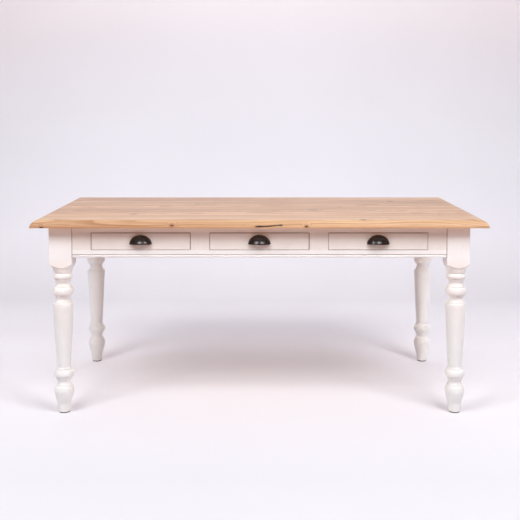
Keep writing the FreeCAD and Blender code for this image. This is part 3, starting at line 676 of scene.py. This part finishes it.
def eased(points, ease, limit=25):
    """The same line with each corner sharper than limit degrees cut back a little."""
    result = [points[0]]
    for before, here, after in zip(points, points[1:], points[2:]):
        first = (here[0] - before[0], here[1] - before[1])
        last = (after[0] - here[0], after[1] - here[1])
        one, two = math.hypot(*first), math.hypot(*last)
        turn = math.degrees(abs(math.remainder(
            math.atan2(last[1], last[0]) - math.atan2(first[1], first[0]), math.tau)))
        if turn < limit or min(one, two) < 1e-6:
            result.append(here)
            continue
        back = min(ease, one * 0.3, two * 0.3)
        enter, hold_enter = ((here[0] - first[0] / one * b, here[1] - first[1] / one * b)
                             for b in (back, back * 1.5))
        leave, hold_leave = ((here[0] + last[0] / two * b, here[1] + last[1] / two * b)
                             for b in (back, back * 1.5))
        bend = tuple((enter[i] + leave[i]) / 4 + here[i] / 2 for i in (0, 1))
        result += [hold_enter, enter, bend, leave, hold_leave]
    return result + [points[-1]]


def leg_profile():
    """(radius, height) in millimetres, from the middle of the foot to the block's top."""
    line = [(0, GLIDE_TOP), (12, GLIDE_TOP), (LEG_FORMS[0][2] - 2, GLIDE_TOP)]
    base = GLIDE_TOP
    for name, height, low, middle, high in LEG_FORMS:
        bottom = base + 2 if name == "foot" else base
        form = arc_points((low, bottom), (middle, base + height / 2), (high, base + height),
                          STEPS.get(name, 9))
        line += form[1:] if form[0] == line[-1] else form
        base += height
    line += [(BLANK, z) for z in (620, CHAMFER_FROM - 0.2, CHAMFER_FROM + 0.2, 700,
                                  BLOCK_TOP - 0.8)]
    line += [(BLANK - 0.6, BLOCK_TOP), (30, BLOCK_TOP), (0, BLOCK_TOP)]
    return eased(line, EASE)


profile = leg_profile()
print("profile rows:", len(profile), "height:", profile[-1][1], "mm")

# %% [markdown]
# ## Four legs
# The same profile is turned four times. Only the centre differs, and the side on which the
# block's hidden corner is cut off flat for the brace behind it.

# %% Turn the legs
# Middle of each leg, and the direction of the table's middle in degrees.
LEG_CENTRES = {
    "front_left": (-0.79, -0.361, 45), "front_right": (0.79, -0.361, 135),
    "back_right": (0.79, 0.361, 225), "back_left": (-0.79, 0.361, 315),
}
BAR_HALF, CHAMFER_REACH = 45, 50 / math.sqrt(2)
legs = {}
for corner, (x, y, inwards) in LEG_CENTRES.items():
    rows = point_mesh("leg_rows", [(r * MM, r * MM, z * MM) for r, z in profile])
    leg = run_tree(f"turned_leg_{corner}", lathe, rows, columns=161, crowd=0.85,
                   bar_half=BAR_HALF * MM, chamfer_reach=CHAMFER_REACH * MM,
                   chamfer_from=CHAMFER_FROM * MM,
                   chamfer_side=math.radians(inwards), centre=(x, y, 0.0), finish=paint_upright)
    finish_mesh(leg.data)
    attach(leg, "table")
    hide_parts(f"leg_{corner}")
    legs[corner] = leg
print("leg faces:", len(leg.data.polygons))

# %% [markdown]
# ## Cup pulls
# A cup pull is half a hollow dome, open below for the fingers. It is turned on the same
# lathe, but only half a turn, and with different radii across and outwards, so that its plan
# is half an ellipse. The profile goes down the outside, round a small rolled lip, and up the
# inside. Two posts behind the dome take the screws.

# %% Cast the pulls
PULL = {"half": 45.5, "height": 37.0, "depth": 24.0, "wall": 2.5, "lip": 0.9}
OUTER_STEPS, INNER_STEPS = 16, 14


def pull_profile():
    """(across, outwards, height) in millimetres, from the outer crown to the inner crown."""
    lip, wall, height = PULL["lip"], PULL["wall"], PULL["height"]
    half, depth = PULL["half"] - lip, PULL["depth"] - lip
    line = []
    for step in range(OUTER_STEPS + 1):
        angle = math.radians(90 - step * 84 / OUTER_STEPS)
        line.append((half * math.cos(angle), depth * math.cos(angle), height * math.sin(angle)))
    for angle in range(60, -91, -25):
        out = lip * math.cos(math.radians(angle))
        line.append((half + out, depth + out, 1.5 + 1.5 * math.sin(math.radians(angle))))
    inner = [side - wall for side in (half, depth, height)]
    line.append((inner[0] + 0.4, inner[1] + 0.4, 0.0))
    for step in range(INNER_STEPS + 1):
        angle = math.radians(3 + step * 87 / INNER_STEPS)
        line.append([part * turn(angle) for part, turn in zip(
            inner, (math.cos, math.cos, math.sin))])
    return line


def close_back(work, wall):
    """Fill the open edge that lies on the drawer front, and count what stays open."""
    rim = [edge for edge in work.edges if edge.is_boundary
           and all(abs(v.co.y - wall) < TOUCH for v in edge.verts)]
    bmesh.ops.triangle_fill(work, edges=rim, use_beauty=True)
    return sum(edge.is_boundary for edge in work.edges)


def circle(radius, around):
    """Points of a circle, in order."""
    turns = (math.tau * i / around for i in range(around))
    return [(radius * math.cos(turn), radius * math.sin(turn)) for turn in turns]


def bridge(work, lower, upper):
    """Faces between two rings that have as many corners."""
    for i in range(len(lower)):
        j = (i + 1) % len(lower)
        work.faces.new((lower[i], lower[j], upper[j], upper[i]))


def add_post(work, x, wall, z, radius, length, around=20):
    """Closed post from the wall outwards, with an eased end."""
    rings = []
    for reach, size in ((0, radius), (length - MM, radius), (length, radius - MM)):
        rings.append([work.verts.new((x + px, wall - reach, z + pz))
                      for px, pz in circle(size, around)])
    for lower, upper in zip(rings, rings[1:]):
        bridge(work, lower, upper)
    work.faces.new(rings[0][::-1])
    work.faces.new(rings[-1])


PULL_PLACES = {"left": -PITCH, "middle": 0.0, "right": PITCH}
FRONT_WALL, PULL_FOOT = -0.403, 0.690
POST_SIDE, POST_UP = 32 * MM, 10 * MM
pulls = []
for drawer, x in PULL_PLACES.items():
    rows = point_mesh("pull_rows", [[part * MM for part in spot] for spot in pull_profile()])
    pull = run_tree(f"cup_{drawer}", lathe, rows, columns=49, from_angle=math.pi, sweep=math.pi,
                    centre=(x, FRONT_WALL, PULL_FOOT), finish=bronze)
    work = bmesh.new()
    work.from_mesh(pull.data)
    open_edges = close_back(work, FRONT_WALL)
    for side in (-POST_SIDE, POST_SIDE):
        add_post(work, x + side, FRONT_WALL, PULL_FOOT + POST_UP, 4 * MM, 10.5 * MM)
    work.to_mesh(pull.data)
    work.free()
    finish_mesh(pull.data, 35)
    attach(pull, f"drawer_{drawer}")
    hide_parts(f"cup_pull_{drawer}")
    pulls.append(pull)
    print("pull", drawer, "faces:", len(pull.data.polygons), "open edges:", open_edges)

# %% [markdown]
# ## Screws
# Twelve screws hold the top from below and two hold each pull. All are the same thing at
# different sizes: a low round head with a crossed slot, and a shank. One of each size is
# modelled, and a tree sets a copy of it on every point, turned along its direction.

# %% One screw, and the tree that repeats it
def screw_pattern(head, head_height, shank, length, around=10):
    """Screw along +Z from its head's outer face: domed head, cross slot, shank and point."""
    rows = [(head * 0.62, 0), (head, head_height * 0.45), (head, head_height),
            (shank, head_height), (shank * 0.85, length - 4 * MM), (0.15 * MM, length)]
    work = bmesh.new()
    rings = [[work.verts.new((px, py, h)) for px, py in circle(r, around)] for r, h in rows]
    for lower, upper in zip(rings, rings[1:]):
        bridge(work, lower, upper)
    work.faces.new(rings[-1])
    arm, half, deep = head * 0.42, head * 0.11, head_height * 0.6
    cross = [(arm, -half), (arm, half), (half, half)]
    for _ in range(3):
        cross += [(-py, px) for px, py in cross[-3:]]
    top = [work.verts.new((px, py, 0)) for px, py in cross]
    low = [work.verts.new((px * 0.7, py * 0.7, deep)) for px, py in cross]
    bridge(work, top, low)
    work.faces.new(low)
    edges = [edge for edge in work.edges if edge.is_boundary]
    bmesh.ops.triangle_fill(work, edges=edges, use_beauty=True)
    mesh = bpy.data.meshes.new("screw_pattern")
    work.to_mesh(mesh)
    work.free()
    finish_mesh(mesh, 40)
    return mesh


def repeat_tree():
    """Tree that sets one object on every point, all turned the same way."""
    tree, given = new_tree("repeat_on_points", [
        ("Pattern", "Object"), ("Turn", "Vector"), ("Seed", "Int")])
    points = add(tree, "GeometryNodeMeshToPoints", {0: given["Geometry"]}).outputs[0]
    pattern = add(tree, "GeometryNodeObjectInfo", {"Object": given["Pattern"]}).outputs["Geometry"]
    spin = add(tree, "FunctionNodeRandomValue", {"Max": (0, 0, math.pi), "Seed": given["Seed"]},
               data_type="FLOAT_VECTOR").outputs[0]
    copies = add(tree, "GeometryNodeInstanceOnPoints", {
        "Points": points, "Instance": pattern, "Rotation": given["Turn"]})
    copies = add(tree, "GeometryNodeRotateInstances", {
        "Instances": copies.outputs[0], "Rotation": spin})
    return end_tree(tree, copies.outputs[0], given["Finish"])


repeat = repeat_tree()
print("repeat nodes:", len(repeat.nodes))

# %% Set the screws
def set_screws(name, body, node, points, turn, pattern):
    """Copies of one screw pattern on the points, as one mesh on one body."""
    template = new_object("screw_template", pattern)
    screws = run_tree(name, repeat, point_mesh(name + "_points", points),
                      pattern=template, turn=turn, seed=4, finish=zinc)
    bpy.data.objects.remove(template)
    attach(screws, body)
    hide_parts(node)
    return screws


TOP_SCREW_FOOT = 0.736
top_rows = [(x, y, TOP_SCREW_FOOT) for x in (-0.669, -BAY_MIDDLE, BAY_MIDDLE, 0.669)
            for y in (-0.29, 0, 0.29)]
top_screws = set_screws("top_screw_set", "table", "top_screws", top_rows, (0.0, 0.0, 0.0),
                        screw_pattern(4.4 * MM, 3 * MM, 2.2 * MM, 44 * MM))
for drawer, x in PULL_PLACES.items():
    pair = [(x + side, FRONT_WALL + 22.4 * MM, PULL_FOOT + POST_UP)
            for side in (-POST_SIDE, POST_SIDE)]
    set_screws(f"pull_screw_pair_{drawer}", f"drawer_{drawer}", f"pull_screws_{drawer}", pair,
               (math.pi / 2, 0.0, 0.0), screw_pattern(4 * MM, 2.4 * MM, 2 * MM, 30.4 * MM))
print("screws:", len(top_rows), "+ 6, faces:", len(top_screws.data.polygons))

# %% [markdown]
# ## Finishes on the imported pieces
# The rails, aprons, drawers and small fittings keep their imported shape. A joiner breaks every
# arris with one stroke of fine paper, so each straight-sided piece gets a live Weld and a
# very small Bevel: the light then catches the edges, and a hairline shows at each joint.

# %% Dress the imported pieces
FINISHES = {
    "front_stile": front_upright, "front_bottom": front_low, "front_top": front_high,
    "apron_back": paint_long, "apron_left": paint_deep, "apron_right": paint_deep,
    "drawer_front": front_long, "drawer_side": pine_deep, "drawer_back": pine_along,
    "drawer_bottom": birch_ply, "drawer_runner": pine_deep, "drawer_kicker": pine_deep,
    "drawer_stops": pine_along, "corner_brace": pine_along, "hanger": zinc,
    "foot_glides": glide_felt,
}
ROUND = ("hanger", "foot_glides")


def ease_edges(piece, width):
    """Weld the loose triangles and break the sharp edges, as live modifiers."""
    weld = piece.modifiers.new("weld", "WELD")
    weld.merge_threshold = TOUCH
    bevel = piece.modifiers.new("broken_arris", "BEVEL")
    bevel.width, bevel.segments = width, 2
    bevel.limit_method, bevel.angle_limit = "ANGLE", math.radians(40)
    bevel.harden_normals = True


# Nodes whose names start alike share a finish.
dressed = 0
for name, node in nodes.items():
    for start, finish in FINISHES.items():
        if name.startswith(start):
            dress(node, finish)
            dressed += 1
            if not name.startswith(ROUND):
                ease_edges(node, 0.6 * MM)
print("packed pieces dressed:", dressed)

# %% [markdown]
# ## Studio
# A pale paper sweep runs from just before the table up behind it without a fold. Two large
# softboxes stand in front at the left and the right, high enough that the top's overhang
# shades the drawers, as a ceiling lamp does at home. Two small ones beside the camera light
# only the pulls: they are the two glints in the metal. The room beyond the paper is dim, and
# its floor is warm. A low fill reaches only the back legs, which the top would leave grey.
# More paper lies all round for the eye alone, so that no view looks over an edge.

# %% Floor and backdrop
BACKGROUND = (242, 239, 246)
PAPER_GLOW = 0.10
FLOOR_FRONT, BEND, BEND_RADIUS, WALL_TOP = -1.6, 2.4, 1.8, 6.0
SWEEP_HALF, FAR_OUT = 5, 20
# Painted light and shade of the sweep where y + z is a given number, 0 under the table's
# middle: darker in front against the softboxes' pool of light, lighter under the table, and a
# painted shadow band behind it.
PAPER_LENGTH = 8.0
PAPER_LIGHT_AND_SHADE = [(-1.0, 0.80), (-0.45, 0.89), (0.0, 0.98), (0.6, 1.04), (1.1, 0.96), (1.7, 0.83),
              (2.4, 0.88), (3.4, 0.95), (5.5, 0.93)]
# To the eye the paper fades into the background beside the table and before it.
HAZE_BESIDE, HAZE = 2.6, (0.1, 3.0)


def paper():
    """Pale paper with painted light and shade along it; it glows a little to the eye and in gloss,
    and far out fades to the haze.
    """
    finish, tree, shader, where = new_finish("pale_paper")
    cloud = noise(tree, where, 0.7, 2)
    shade = ramp(tree, cloud, [(0.3, screen(240, 237, 243)), (0.7, screen(243, 240, 246))])
    side, depth, height = xyz(tree, where)
    along = calc(tree, "ADD", depth, calc(tree, "ADD", height, -FLOOR_FRONT))
    # Painted light and shade along the sweep.
    light_and_shade = [((at - FLOOR_FRONT) / PAPER_LENGTH, (t, t, t, 1)) for at, t in PAPER_LIGHT_AND_SHADE]
    light_and_shade = ramp(tree, calc(tree, "DIVIDE", along, PAPER_LENGTH), light_and_shade)
    shade = mix(tree, 1.0, shade, light_and_shade, "MULTIPLY")
    path = add(tree, "ShaderNodeLightPath").outputs
    seen = calc(tree, "MAXIMUM", path["Is Camera Ray"], path["Is Glossy Ray"])
    fill(tree, shader, {
        "Base Color": shade, "Roughness": 0.9, "Specular IOR Level": 0.2,
        "Emission Color": shade, "Emission Strength": times(tree, seen, PAPER_GLOW)})
    away = calc(tree, "MAXIMUM", calc(tree, "SUBTRACT", calc(tree, "ABSOLUTE", side), HAZE_BESIDE),
                calc(tree, "SUBTRACT", FLOOR_FRONT, depth))
    haze = times(tree, span(tree, away, *HAZE), path["Is Camera Ray"])
    glow = add(tree, "ShaderNodeEmission", {"Color": screen(*BACKGROUND)})
    both = add(tree, "ShaderNodeMixShader", {0: haze, 1: shader.outputs[0], 2: glow.outputs[0]})
    fill(tree, tree.nodes["Material Output"], {"Surface": both.outputs[0]})
    return finish


pale_paper = paper()


def paper_sheet(name, line, sides):
    """Smooth sheet through the (y, z) points of line, once for each pair of x."""
    spots, faces = [], []
    for pair in sides:
        for i in range(len(spots), len(spots) + 2 * len(line) - 2, 2):
            faces.append((i, i + 1, i + 3, i + 2))
        spots += [(x, y, z) for y, z in line for x in pair]
    mesh = bpy.data.meshes.new(name)
    mesh.from_pydata(spots, [], faces)
    mesh.shade_smooth()
    sheet = new_object(name, mesh)
    dress(sheet, pale_paper)
    return sheet


section = [(FLOOR_FRONT, 0.0), (0.0, 0.0), (BEND, 0.0)]
section += [(BEND + BEND_RADIUS * math.sin(a), BEND_RADIUS - BEND_RADIUS * math.cos(a))
            for a in (math.radians(step * 5) for step in range(1, 19))]
section.append((BEND + BEND_RADIUS, WALL_TOP))
paper_sheet("paper_sweep", section, [(-SWEEP_HALF, SWEEP_HALF)])
beyond = [
    paper_sheet("floor_in_front", [(-FAR_OUT, 0), (FLOOR_FRONT, 0)], [(-FAR_OUT, FAR_OUT)]),
    paper_sheet("floor_at_the_sides", [(FLOOR_FRONT, 0), (FAR_OUT, 0)],
                [(-FAR_OUT, -SWEEP_HALF), (SWEEP_HALF, FAR_OUT)])]
for sheet in beyond:
    sheet.visible_diffuse = sheet.visible_glossy = sheet.visible_shadow = False
print("sheets of paper:", 1 + len(beyond))

# %% Light
def softbox(name, place_at, aim, size, watts, tint=(1, 1, 1), glint=True, only=()):
    """Flat lamp turned towards aim. Glint shows it in gloss; only limits what it lights."""
    lamp = bpy.data.lights.new(name, "AREA")
    lamp.shape, lamp.size, lamp.size_y = "RECTANGLE", size[0], size[1]
    lamp.energy, lamp.color = watts, tint
    body = new_object(name, lamp)
    body.location = place_at
    dx, dy, dz = (a - p for a, p in zip(aim, place_at))
    body.rotation_euler = (math.atan2(math.hypot(dx, dy), -dz), 0,
                           math.atan2(dy, dx) - math.pi / 2)
    body.visible_camera, body.visible_glossy = False, glint
    if only:
        body.light_linking.receiver_collection = bpy.data.collections.new(name + "_lights")
        for piece in only:
            body.light_linking.receiver_collection.objects.link(piece)


def room_light(above, level, below):
    """Dim room: ceiling, walls and warm floor in the light, pale paper to the eye."""
    world = bpy.data.worlds.new("room")
    world.use_nodes = True
    tree = world.node_tree
    tree.nodes.clear()
    up = xyz(tree, add(tree, "ShaderNodeTexCoord").outputs["Generated"])[2]
    pale, warm = screen(246, 244, 250)[:3], screen(250, 142, 34)[:3]
    stops = [(0.38, warm, below), (0.44, pale, level), (0.62, pale, level),
             (0.70, pale, level / 2), (0.76, pale, level / 2), (0.86, pale, above)]
    stops = [(at, tuple(c * dim for c in shade) + (1,)) for at, shade, dim in stops]
    tone = ramp(tree, scaled(tree, up, 0.5, 0.5), stops)
    eye = add(tree, "ShaderNodeLightPath").outputs["Is Camera Ray"]
    tone = mix(tree, eye, tone, screen(*BACKGROUND))
    sky = add(tree, "ShaderNodeBackground", {"Color": tone})
    add(tree, "ShaderNodeOutputWorld", {"Surface": sky.outputs[0]})
    bpy.context.scene.world = world


KEY_TINT = (0.96, 0.98, 0.99)
room_light(above=0.62, level=0.22, below=1.06)
for side, name, watts in ((-1, "left", 72), (1, "right", 81)):
    softbox(f"softbox_{name}", (1.8 * side, -2.2, 3.05), (0.8 * side, 0, 0.4), (1.7, 1.4), watts,
            KEY_TINT, glint=False)
for side, name in ((-1, "left"), (1, "right")):
    softbox(f"catch_{name}", (side, -3.7, 1.35), (0, -0.4, 0.7), (0.7, 0.45), 24, only=pulls)
softbox("back_leg_fill", (0, -3.4, 0.4), (0, 0.36, 0.3), (2.4, 0.5), 11, (1, 0.88, 0.87),
        only=(legs["back_left"], legs["back_right"]))
softbox("backdrop_light", (0, 2.5, 4.6), (0, 4.2, 3.2), (5.5, 0.8), 84)
bpy.context.scene.view_settings.view_transform = "Standard"
print("lamps:", len(bpy.data.lights))
